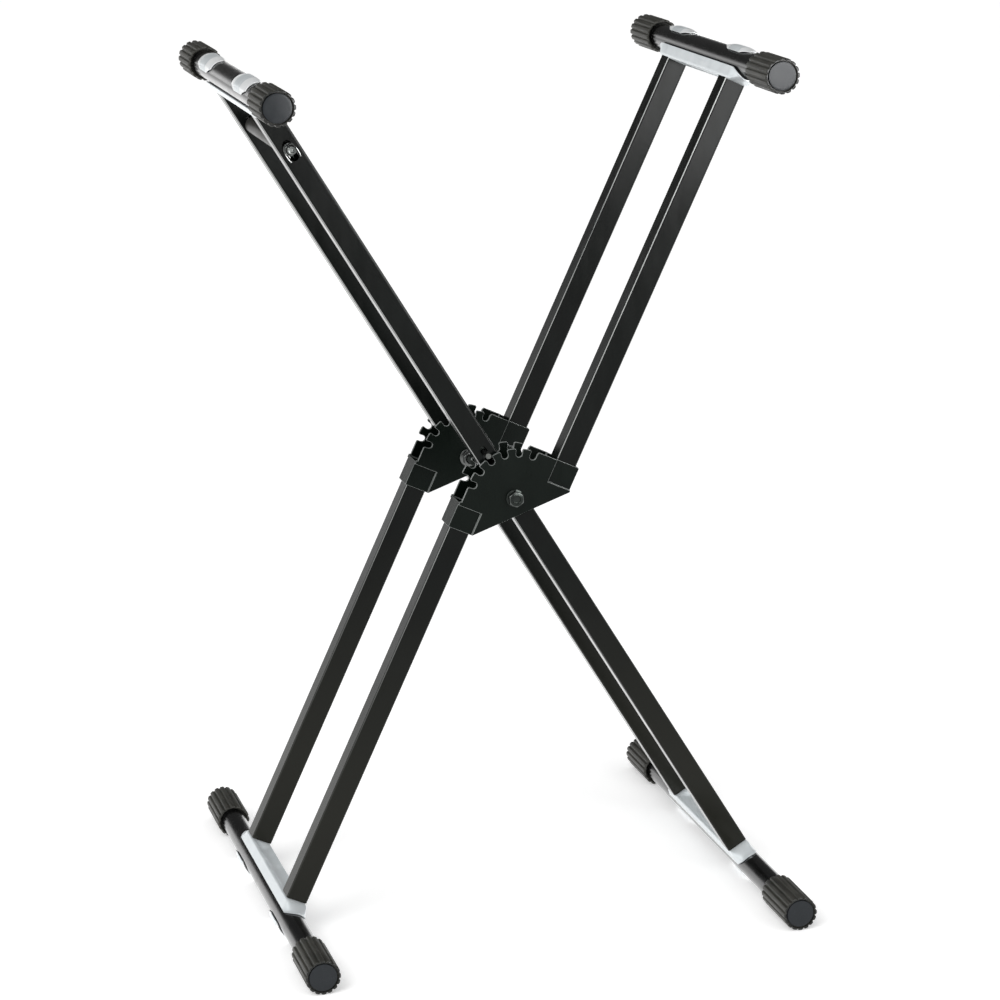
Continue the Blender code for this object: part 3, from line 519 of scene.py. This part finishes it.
def cap_piece(prefix, side, body, matrix, length):
    """Ribbed sleeve: wide crowned ribs, narrow grooves, rounded ends and a recess round the tube."""
    bm = bmesh.new()
    points_per_rib = 14
    count = CAP_RIBS * points_per_rib
    groove_depth = 0.0013
    groove_start = 0.50
    groove_slope = 0.42
    crown_height = 0.00012
    crown_width = 1.6
    bore = BAR_RADIUS + HAIR_GAP
    lip = 0.0151                 # radius where the end faces start
    lip_depth = 0.0003           # how deep the lip round the disc goes

    def rib_radius(step):
        """Radius at a point of the outline, with a rib's middle straight up."""
        phase = (step / points_per_rib + 0.5) % 1.0
        away = abs(phase - 0.5) * 2
        groove = smooth((away - groove_start) / groove_slope)
        crown = crown_height * (away * crown_width) ** 2
        return CAP_RADIUS - crown - groove_depth * groove

    def ring(place, shrink):
        row = []
        for step in range(count):
            angle = math.pi / 2 + 2 * math.pi * step / count
            radius = rib_radius(step) - shrink
            row.append((radius * math.cos(angle), place, radius * math.sin(angle)))
        return row

    def circle(place, radius):
        return ring_of(place, radius, count, math.pi / 2)

    # The recess for the disc and the mouth round the tube, as (distance from the end, radius)
    recess = ((BAR_INSET, bore), (BAR_INSET, 0.0148), (lip_depth, 0.0149), (0.0, lip))
    mouth = ((0.0, lip), (0.0004, 0.0147), (0.0042, 0.0140), (0.0045, bore))
    # The rounded ends of the ribs, as (distance from the end, how much smaller than the ribs)
    outer_rounding = ((0.0, 0.0009), (0.0002, 0.0005), (0.0007, 0.00012), (0.0014, 0.0))
    inner_rounding = ((0.0014, 0.0), (0.0007, 0.00015), (0.0002, 0.0006), (0.0, 0.0011))
    rows = [circle(place, radius) for place, radius in recess]
    rows += [ring(place, shrink) for place, shrink in outer_rounding]
    rows += [ring(length * share, 0.0) for share in (0.35, 0.7)]
    rows += [ring(length - place, shrink) for place, shrink in inner_rounding]
    rows += [circle(length - place, radius) for place, radius in mouth]
    rows.append(circle(BAR_INSET, bore))
    skin(bm, rows, closed_across=True)
    # The end faces get the darker rubber, painted shade.
    second_material(bm, lambda middle: middle.y < lip_depth)
    node = f"{prefix}_cap_{side}"
    piece = new_piece(f"{node}_sleeve", bm, RUBBER, matrix, body, [node], sharp=40)
    piece.data.materials.append(SHADED_CAP_END)


def disc_piece(prefix, side, body, matrix):
    """End plug with a rounded edge, a faintly domed face and a spigot inside the tube."""
    face_place = 0.0005
    face_radius = 0.0128
    dome = 0.0002
    face_steps = 8
    # Both as (radius, place from the end of the cap)
    edge = [(0.0134, 0.0008), (0.0137, 0.0011), (0.0138, 0.0016), (0.0138, 0.0027)]
    spigot = [(0.0107, 0.0027), (0.0107, 0.0120), (0.0087, 0.0120), (0.0087, 0.0027), (0.0, 0.0027)]
    face = [(0.0, face_place)]
    for step in range(1, face_steps + 1):
        share = step / face_steps
        face.append((face_radius * share, face_place + dome * share * share))
    node = f"{prefix}_end_disc_{side}"
    new_piece(f"{node}_plug", lathe(face + edge + spigot), DISC, matrix, body, [node])


def saddle_piece(prefix, body, matrix):
    """Pressed zinc saddle that carries both legs, with a dished web and sloping rounded ends."""
    bm = bmesh.new()
    hug = BAR_RADIUS + 0.0015    # outer face where the pressing lies round the bar
    flange_angle = math.radians(59)
    foot_x = hug * math.sin(flange_angle)
    foot_z = hug * math.cos(flange_angle)
    top = BAR_TO_LEG - 0.0004    # outer face under the legs
    half = HALF_TUBE - 0.0001    # half of its width there
    corner_radius = 0.0022
    corner_start = 0.46          # share of the section, from its middle, where the corner starts
    flange_start = 0.62          # share where the flange starts
    columns = 56
    lines = 150
    tip = 0.122                  # half length in the middle
    shoulder = 0.1095            # half length along the flanges
    tip_roundness = 2.6
    slope_start = LEG_PLANE + HALF_TUBE + 0.0006
    slope_sharpness = 1.2
    dish_share = 0.5             # share of the section, from its middle, that the dish stays in
    dish_reach = LEG_PLANE - HALF_TUBE - 0.0010
    dish_end_length = 0.012
    dish_half_width = 0.0087
    dish_depth = 0.0052

    def section(share):
        """Section under the legs: flat top, rounded corner, flange; share runs from -1 to 1."""
        away = abs(share)
        if away > flange_start:
            part = (away - flange_start) / (1 - flange_start)
            x = half + (foot_x - half) * part
            z = (top - corner_radius) + (foot_z - (top - corner_radius)) * part
        elif away > corner_start:
            turn = (away - corner_start) / (flange_start - corner_start) * math.pi / 2
            x = half - corner_radius + corner_radius * math.sin(turn)
            z = top - corner_radius + corner_radius * math.cos(turn)
        else:
            x = (half - corner_radius) * away / corner_start
            z = top
        return math.copysign(x, share), z

    rows = []
    for line_index in range(lines + 1):
        line = -1 + 2 * line_index / lines
        row = []
        for column in range(columns + 1):
            share = -1 + 2 * column / columns
            end = tip - (tip - shoulder) * abs(share) ** tip_roundness
            y = line * end
            x, z = section(share)
            sink = smooth((abs(y) - slope_start) / max(end - slope_start, 0.001)) ** slope_sharpness
            x += (hug * math.sin(flange_angle * share) - x) * sink
            z += (hug * math.cos(flange_angle * share) - z) * sink
            if abs(share) < dish_share:
                trough = max(1 - (x / dish_half_width) ** 2, 0)
                z -= dish_depth * smooth((dish_reach - abs(y)) / dish_end_length) * trough
            row.append((x, y, z))
        rows.append(row)
    skin(bm, rows)
    node = f"{prefix}_saddle"
    piece = new_piece(f"{node}_pressing", bm, ZINC, matrix, body, [node], sharp=28)
    thicken(piece, thickness=0.0011, offset=-1)


def plate_piece(prefix, side, body, matrix):
    """Zinc clamp plate that stands off the tube in the middle and slopes to it past two pressed lines."""
    bm = bmesh.new()
    columns = 40
    lines = 44
    widest = math.radians(56)
    flat = math.radians(34)
    full_reach = 0.033           # half length along the middle
    edge_cut = 0.016             # how much shorter each half is along the side edges
    pressed_line = 0.0135        # from the middle, along the bar
    slope_length = 0.0195
    standoff = 0.0024
    edge_flattening = 0.85
    bead_depth = 0.0005
    bead_width = 0.0008
    slopes_from = 0.0142

    rows = []
    for line_index in range(lines + 1):
        line = -1 + 2 * line_index / lines
        row = []
        for column in range(columns + 1):
            angle = -widest + 2 * widest * column / columns
            slant = max(math.sin(abs(angle)) - math.sin(flat), 0) / (math.sin(widest) - math.sin(flat))
            y = line * (full_reach - edge_cut * slant)
            fall = min(max((abs(y) - pressed_line) / slope_length, 0), 1)
            bow = standoff * (1 - fall) * (1 - edge_flattening * slant)
            bead = bead_depth * math.exp(-(((abs(y) - pressed_line) / bead_width) ** 2))
            radius = BAR_RADIUS + HAIR_GAP + bow - bead
            row.append((radius * math.sin(angle), y, -radius * math.cos(angle)))
        rows.append(row)
    skin(bm, rows)
    # The sloping ends get the whiter zinc, a painted highlight.
    second_material(bm, lambda middle: abs(middle.y) > slopes_from)
    node = f"{prefix}_clamp_plate_{side}"
    piece = new_piece(f"{node}_strap", bm, ZINC, matrix, body, [node], sharp=50)
    piece.data.materials.append(ZINC_SLOPE_HIGHLIGHT)
    thicken(piece, thickness=0.0010, offset=1)


def level(prefix, body, base, centre, lean, top):
    """Everything fixed to one crossbar."""
    toward = math.pi if top else 0.0
    half = TOP_HALF if top else BASE_HALF
    cap = TOP_CAP if top else BASE_CAP
    at = base @ Matrix.Translation(centre)
    turned = at @ Matrix.Rotation(toward, 4, "Y")
    upright = at @ Matrix.Rotation(-lean, 4, "Y")
    crossbar_piece(prefix, body, at, half)
    saddle_piece(prefix, body, turned)
    for side, sign in SIDES.items():
        end = upright @ Matrix.Translation((0, sign * half, 0))
        if sign > 0:
            end = end @ Matrix.Rotation(math.pi, 4, "Z")
        cap_piece(prefix, side, body, end, cap)
        disc_piece(prefix, side, body, end)
        plate_piece(prefix, side, body, turned @ Matrix.Translation((0, sign * LEG_PLANE, 0)))


level("outer_top", "outer_frame", OUTER, (LEG_OFFSET, 0, LEG_LENGTH), OUTER_LEAN, top=True)
level("outer_base", "outer_frame", OUTER, (-LEG_OFFSET, 0, -LEG_LENGTH), OUTER_LEAN, top=False)
level("inner_top", "inner_frame", INNER, (0, 0, LEG_LENGTH), -INNER_LEAN, top=True)
level("inner_base", "inner_frame", INNER, (0, 0, -LEG_LENGTH), -INNER_LEAN, top=False)


# Bolts, nuts, pins, handle and springs
def hexagon_radius(angle, across_flats):
    """Distance from the middle to a hexagon's side, with a corner at angle 0."""
    return across_flats / 2 / math.cos(angle % (math.pi / 3) - math.pi / 6)


def hexagon_rows(seat, toward, across_flats, height, flange_radius, flange):
    """Rings of a flanged hexagon from its seat to the edge of its flat top."""
    rounding = 0.0003
    edge_share = 0.6             # share of the flange's thickness where its upper edge starts to turn
    slope_share = 0.85           # share where it meets the slope up to the hexagon
    fillet = 0.0002
    flat_top_share = 0.94
    chamfer_slope = 1.75
    chamfer_steps = (0.0011, 0.0008, 0.0005, 0.00025, 0.0)
    rows = []
    for radius, rise in (
        (flange_radius - rounding, 0.0),
        (flange_radius, rounding),
        (flange_radius, flange * edge_share),
        (flange_radius - rounding, flange * slope_share),
    ):
        rows.append(ring_of(seat + toward * rise, radius))
    flat_top = across_flats / 2 * flat_top_share
    levels = [(flange + fillet, height), (flange + height * 0.5, height * 0.5)]
    levels += [(flange + height - below, below) for below in chamfer_steps]
    for rise, below in levels:
        reach = flat_top + below * chamfer_slope
        place = seat + toward * rise
        rows.append(ring_of(place, lambda angle: min(hexagon_radius(angle, across_flats), reach)))
    return rows


def threaded(radius, start, end):
    """Rings of a thread-like shank with a chamfered end."""
    end_chamfer = 0.0007
    rows = []
    count = int(abs(end - start) / THREAD_PITCH)
    step = (end - start) / count
    for turn in range(count):
        rows.append(ring_of(start + turn * step, radius - THREAD_DEPTH))
        rows.append(ring_of(start + (turn + 0.5) * step, radius))
    rows.append(ring_of(end, radius - end_chamfer))
    return rows


def side_frame(base, side, height=0.0, plane=LEG_PLANE):
    """Frame on a side's leg plane, with -Y outward."""
    sign = SIDES[side]
    frame_at = base @ Matrix.Translation((0, sign * plane, height))
    return frame_at @ Matrix.Rotation(math.pi if sign > 0 else 0.0, 4, "Z")


def bolt_piece(side):
    """Pivot bolt: flanged hexagon head with a round recess, and a threaded end past the nut."""
    bm = bmesh.new()
    top = BOLT_SEAT - BOLT_HEAD["flange"] - BOLT_HEAD["height"]
    # Rounded lip and floor of the recess, as (radius, depth under the flat top)
    recess = (
        (0.0050, -0.0001),
        (0.0046, -0.0002),
        (0.0042, 0.0),
        (0.0039, 0.0004),
        (0.0037, 0.0010),
        (0.0026, 0.0012),
        (0.0010, 0.0011),
        (0.0, 0.0011),
    )
    rim_depth = 0.0012
    rim_radius = 0.0059
    rows = [ring_of(BOLT_SEAT, BOLT_RADIUS)]
    rows += hexagon_rows(BOLT_SEAT, -1, **BOLT_HEAD)
    rows += [ring_of(top + depth, radius) for radius, depth in recess]
    rows.reverse()
    thread_start = CHEEK_OUTSIDE + 0.001
    tail = CHEEK_OUTSIDE + FIT_GAP + PIVOT_NUT["flange"] + PIVOT_NUT["height"] + BOLT_TAIL
    rows.append(ring_of(thread_start, BOLT_RADIUS))
    rows += threaded(BOLT_RADIUS, thread_start, tail)
    rows.append(ring_of(tail, 0.0))
    skin(bm, rows, closed_across=True)

    def on_rim(middle):
        return middle.y < top + rim_depth and math.hypot(middle.x, middle.z) > rim_radius

    # The head's outer rim gets the lighter steel, a painted highlight.
    second_material(bm, on_rim)
    node = f"pivot_bolt_{side}"
    at = side_frame(OUTER, side)
    piece = new_piece(f"{node}_head", bm, DARK_STEEL, at, "outer_frame", [node])
    piece.data.materials.append(STEEL_RIM_HIGHLIGHT)


def nut_piece(node, at, body, seat, toward, sizes):
    """Chamfered flange nut."""
    mouth = 0.0007
    mouth_depth = 0.0006
    end = seat + toward * (sizes["flange"] + sizes["height"])
    rows = [ring_of(seat, NUT_BORE)]
    rows += hexagon_rows(seat, toward, **sizes)
    rows.append(ring_of(end, NUT_BORE + mouth))
    rows.append(ring_of(end - toward * mouth_depth, NUT_BORE))
    rows.append(ring_of(seat, NUT_BORE))
    bm = bmesh.new()
    skin(bm, rows, closed_across=True)
    new_piece(f"{node}_hexagon", bm, NUT_STEEL, at, body, [node])


def pin_piece(side):
    """Lock pin with chamfered ends."""
    narrow = PIN_RADIUS - PIN_CHAMFER
    profile = [
        (0.0, PIN_OUTER_END),
        (narrow, PIN_OUTER_END),
        (PIN_RADIUS, PIN_OUTER_END + PIN_CHAMFER),
        (PIN_RADIUS, PIN_INNER_END - PIN_CHAMFER),
        (narrow, PIN_INNER_END),
        (0.0, PIN_INNER_END),
    ]
    node = f"lock_pin_{side}"
    at = side_frame(INNER, side, PIN_REST)
    bm = lathe(profile, points=64)
    new_piece(f"{node}_rod", bm, PIN_STEEL, at, "release", [node])


def handle_rod(at):
    """Cross rod with threaded ends and a small socket in each."""
    bm = bmesh.new()
    end = LEG_PLANE + HALF_TUBE + ROD_PROUD
    thread_start = LEG_PLANE - 0.002
    thread_end = end - 0.0001
    # Socket and end face, as (radius, depth under the end face)
    socket = ((0.0, 0.0014), (0.0019, 0.0014), (0.0022, 0.0002), (0.0027, 0.0), (0.0033, 0.0))
    half = [ring_of(end - depth, radius) for radius, depth in socket]
    half += list(reversed(threaded(ROD_RADIUS, thread_start, thread_end)))
    half.append(ring_of(thread_start, ROD_RADIUS))
    mirrored = [[(x, -y, z) for x, y, z in row] for row in reversed(half)]
    skin(bm, half + mirrored, closed_across=True)
    name = "release_handle_rod"
    new_piece(f"{name}_bar", bm, NUT_STEEL, at, "release", [name])


def handle_grip(at):
    """Smooth grip between the legs, with rounded ends and a hair wider in the middle."""
    reach = LEG_PLANE - HALF_TUBE - FIT_GAP
    rounding = 0.0012
    steps = 8
    swell = 0.00001
    side = []
    for step in range(steps + 1):
        turn = math.pi / 2 * step / steps
        narrower = rounding * (1 - math.sin(turn))
        side.append((GRIP_RADIUS - narrower, -reach + rounding * (1 - math.cos(turn))))
    profile = [(GRIP_BORE, -reach)] + side
    profile += [(GRIP_RADIUS + swell, 0.0)]
    profile += [(radius, -place) for radius, place in reversed(side)]
    profile += [(GRIP_BORE, reach), (GRIP_BORE, -reach)]
    name = "release_grip"
    new_piece(f"{name}_sleeve", lathe(profile), GRIP, at, "release", [name])


def slot_rails(side):
    """Raised metal rails along both sides of the handle rod's slot, flat enough to pass under the nut."""
    bm = bmesh.new()
    low = HANDLE_SEAT - 0.003
    high = HANDLE_SEAT + 0.0095
    steps = 24
    outward_bow = 0.0007
    full_rise = 0.0004
    ramp = 6                     # how fast the ends rise
    end_rise = 0.1               # share of the rise left at the very ends
    inner_edge = 0.0050
    outer_edge = 0.0059
    rounding = 0.0002
    side_share = 0.6             # share of the rise where the sides end
    foot = HALF_TUBE - 0.0002    # where the rails start, inside the leg's wall
    for sign in (-1, 1):
        rows = []
        for step in range(steps + 1):
            share = step / steps
            bow = outward_bow * math.sin(math.pi * share)
            rise = full_rise * min(1.0, ramp * min(share, 1 - share) + end_rise)
            place = low + (high - low) * share
            inner = inner_edge + bow
            outer = outer_edge + bow
            section = [
                (inner, foot),
                (inner, HALF_TUBE + rise * side_share),
                (inner + rounding, HALF_TUBE + rise),
                (outer - rounding, HALF_TUBE + rise),
                (outer, HALF_TUBE + rise * side_share),
                (outer, foot),
            ]
            rows.append([(sign * across, -out, place) for across, out in section])
        capped(bm, rows)
    at = side_frame(INNER, side)
    new_piece(f"slot_rails_{side}", bm, RAIL_STEEL, at, "inner_frame", None, sharp=50)


def spring_piece(side):
    """Coil spring that stretches between the pull rod's collar and the fixed stop."""
    bm = bmesh.new()
    points_per_turn = 32
    points_round_wire = 10
    rows = []
    total = SPRING_TURNS * points_per_turn
    rise = SPRING_HIGH - SPRING_LOW - 2 * SPRING_WIRE_RADIUS
    for step in range(total + 1):
        angle = 2 * math.pi * step / points_per_turn
        height = SPRING_LOW + SPRING_WIRE_RADIUS + rise * step / total
        out = Vector((math.cos(angle), math.sin(angle), 0))
        row = []
        for corner in range(points_round_wire):
            turn = 2 * math.pi * corner / points_round_wire
            radius = SPRING_RADIUS + SPRING_WIRE_RADIUS * math.cos(turn)
            row.append(tuple(out * radius + Vector((0, 0, height + SPRING_WIRE_RADIUS * math.sin(turn)))))
        rows.append(row)
    capped(bm, rows)
    node = f"return_spring_{side}"
    at = INNER @ Matrix.Translation((0, SIDES[side] * LEG_PLANE, 0))
    piece = new_piece(f"{node}_coil", bm, SPRING_STEEL, at, None, [node])
    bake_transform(piece)


def side_hardware(side):
    """Bolt, nuts, pin, slot rails and spring of one side."""
    bolt_piece(side)
    nut_seat = CHEEK_OUTSIDE + FIT_GAP
    nut_piece(f"pivot_nut_{side}", side_frame(OUTER, side), "outer_frame", nut_seat, 1, PIVOT_NUT)
    rod_frame = side_frame(INNER, side, HANDLE_REST, 0.0)
    nut_seat = -LEG_PLANE - HALF_TUBE - 2 * FIT_GAP
    nut_piece(f"release_handle_nut_{side}", rod_frame, "release", nut_seat, -1, HANDLE_NUT)
    pin_piece(side)
    slot_rails(side)
    spring_piece(side)


for side in SIDES:
    side_hardware(side)
handle_frame = INNER @ Matrix.Translation((0, 0, HANDLE_REST))
handle_rod(handle_frame)
handle_grip(handle_frame)


# Brackets and legs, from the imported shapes
def is_cut_edge(face):
    """Whether a bracket's face is a cut edge of the sheet: thin across the sheet and not facing along Y."""
    widest = 0.0031
    steepest = 0.3
    places = [vertex.co.y for vertex in face.verts]
    return max(places) - min(places) < widest and abs(face.normal.y) < steepest


def bracket_piece(side):
    """Copy a bracket's shape, merge its facets and round its edges; the cut and rounded edges get a painted
    highlight.
    """
    merge_distance = 2e-5
    flat_angle = math.radians(0.5)
    node = f"hinge_bracket_{side}"
    bm = bmesh.new()
    bm.from_mesh(nodes[node].data)
    bmesh.ops.remove_doubles(bm, verts=bm.verts, dist=merge_distance)
    bmesh.ops.dissolve_limit(bm, angle_limit=flat_angle, verts=bm.verts, edges=bm.edges)
    for face in bm.faces:
        face.material_index = 1 if is_cut_edge(face) else 0
    in_place = Matrix.Identity(4)
    piece = new_piece(f"{node}_sheet", bm, BRACKET_PAINT, in_place, "outer_frame", [node])
    piece.data.materials.append(EDGE_HIGHLIGHT_PAINT)
    rounding = bevel(piece, width=0.0004, angle=40)
    rounding.use_clamp_overlap = False
    rounding.material = 1
    flat = piece.modifiers.new("flat_faces", "WEIGHTED_NORMAL")
    flat.weight = 100
    flat.keep_sharp = True


def dress(name, material):
    """Give a CAD node its material."""
    for slot in nodes[name].material_slots:
        slot.material = material


for side in SIDES:
    bracket_piece(side)
    for leg in ("outer_upper_leg", "outer_lower_leg", "inner_leg"):
        dress(f"{leg}_{side}", PAINT)
    # The pull rods are drawn in the dark steel, which keeps the slots they show through black.
    dress(f"pull_rod_{side}", DARK_STEEL)
    dress(f"spring_stop_{side}", NYLON)
    dress(f"pivot_bush_{side}_outside", NYLON)
    dress(f"pivot_bush_{side}_inside", NYLON)


# Floor, light and camera
def make_floor():
    """Pale floor, lifted to white for the camera and brighter near the stand in reflections."""
    camera_lift = 0.33
    bm = bmesh.new()
    bmesh.ops.create_grid(bm, x_segments=1, y_segments=1, size=12)
    mesh = bpy.data.meshes.new("floor")
    bm.to_mesh(mesh)
    bm.free()
    floor = bpy.data.objects.new("floor", mesh)
    bpy.context.scene.collection.objects.link(floor)
    material, tree, shader = new_material("floor_white")
    shader.inputs["Base Color"].default_value = (0.93, 0.93, 0.93, 1)
    shader.inputs["Roughness"].default_value = 0.9
    shader.inputs["Specular IOR Level"].default_value = 0.0
    shader.inputs["Emission Color"].default_value = (1, 1, 1, 1)
    path = tree.nodes.new("ShaderNodeLightPath")
    distance = tree.nodes.new("ShaderNodeVectorMath")
    distance.operation = "LENGTH"
    link(tree, object_place(tree), distance.inputs[0])
    mirrored = spread(tree, distance.outputs["Value"], low=0.90, high=0.05, start=3.5, end=7.0)
    seen = arithmetic(tree, "MULTIPLY", path.outputs["Is Camera Ray"], camera_lift)
    glow = arithmetic(tree, "MULTIPLY_ADD", path.outputs["Is Glossy Ray"], mirrored, seen)
    link(tree, glow, shader.inputs["Emission Strength"])
    mesh.materials.append(material)


def make_world():
    """White to the camera and to glass, and a soft studio that darkens above the back to reflections."""
    even_light = 0.55
    world = bpy.data.worlds.new("studio")
    bpy.context.scene.world = world
    world.use_nodes = True
    tree = world.node_tree
    background = tree.nodes["Background"]
    background.inputs["Color"].default_value = (1, 1, 1, 1)
    direction = tree.nodes.new("ShaderNodeTexCoord").outputs["Generated"]
    x, y, z = [axis_of(tree, direction, axis) for axis in "XYZ"]
    front = spread(tree, y, low=0.08, high=0.95, start=0.25, end=-0.35, interpolation="SMOOTHSTEP")
    left = spread(tree, x, low=0.0, high=1.6, start=-0.40, end=-0.80, interpolation="SMOOTHSTEP")
    horizon = spread(tree, z, low=1.5, high=0.0, start=0.0, end=0.15, interpolation="SMOOTHSTEP")
    sides = arithmetic(tree, "MAXIMUM", front, left)
    studio = arithmetic(tree, "MAXIMUM", sides, horizon)
    path = tree.nodes.new("ShaderNodeLightPath")
    unseen = blend(tree, path.outputs["Is Glossy Ray"], even_light, studio)
    seen = arithmetic(tree, "MAXIMUM", path.outputs["Is Camera Ray"], path.outputs["Is Transmission Ray"])
    link(tree, blend(tree, seen, unseen, 1.0), background.inputs["Strength"])


def new_lamp(name, kind, power, direction):
    """Lamp of a kind that shines in a direction."""
    lamp = bpy.data.lights.new(name, kind)
    lamp.energy = power
    item = bpy.data.objects.new(name, lamp)
    item.rotation_euler = direction.to_track_quat("-Z", "Y").to_euler()
    bpy.context.scene.collection.objects.link(item)
    return item


def sun_lamp(name, direction, power, angle):
    """Sun whose size in the sky is an angle in degrees."""
    item = new_lamp(name, "SUN", power, Vector(direction))
    item.data.angle = math.radians(angle)


def area_lamp(name, location, target, width, height, power):
    """Rectangular lamp that shines toward a target."""
    item = new_lamp(name, "AREA", power, Vector(target) - Vector(location))
    item.location = location
    item.data.shape = "RECTANGLE"
    item.data.size = width
    item.data.size_y = height
    return item


def make_lamps():
    """Soft key light, two soft boxes, and a card that shows in reflections on the legs' front faces."""
    sun_lamp("key", direction=(1.8, 1.6, -2.6), power=0.85, angle=50)
    area_lamp("soft_box", (-2.0, -1.8, 2.4), (0, 0, 0.5), width=1.6, height=1.6, power=22)
    area_lamp("side_box", (1.6, -2.2, 1.1), (0.1, 0, 0.6), width=1.2, height=1.2, power=12)
    card_place = (0.74, -1.5, 0.76)
    card = area_lamp("reflection_card", card_place, (0.22, 0, 0.80), width=1.15, height=0.55, power=27)
    card.visible_diffuse = False


def make_camera():
    """Camera at the photograph's viewing angle, as fitted to it."""
    azimuth = math.radians(15.137)
    elevation = math.radians(14.862)
    roll = math.radians(1.571)
    place = (-0.8062, -3.0286, PIVOT_HEIGHT + 0.8034)
    focal_pixels = 3205.9
    photo_pixels = 1000
    sensor = 36
    forward = Vector(
        (
            math.sin(azimuth) * math.cos(elevation),
            math.cos(azimuth) * math.cos(elevation),
            -math.sin(elevation),
        )
    )
    right = Vector((math.cos(azimuth), -math.sin(azimuth), 0))
    down = forward.cross(right)
    turned_right = right * math.cos(roll) + down * math.sin(roll)
    turned_down = down * math.cos(roll) - right * math.sin(roll)
    data = bpy.data.cameras.new("camera")
    data.sensor_width = sensor
    data.sensor_fit = "HORIZONTAL"
    data.lens = focal_pixels * sensor / photo_pixels
    data.clip_end = 50
    camera = bpy.data.objects.new("camera", data)
    basis = Matrix((turned_right, -turned_down, -forward)).transposed()
    camera.matrix_world = Matrix.Translation(place) @ basis.to_4x4()
    bpy.context.scene.collection.objects.link(camera)
    bpy.context.scene.camera = camera


make_floor()
make_world()
make_lamps()
make_camera()
bpy.context.scene.view_settings.view_transform = "Standard"
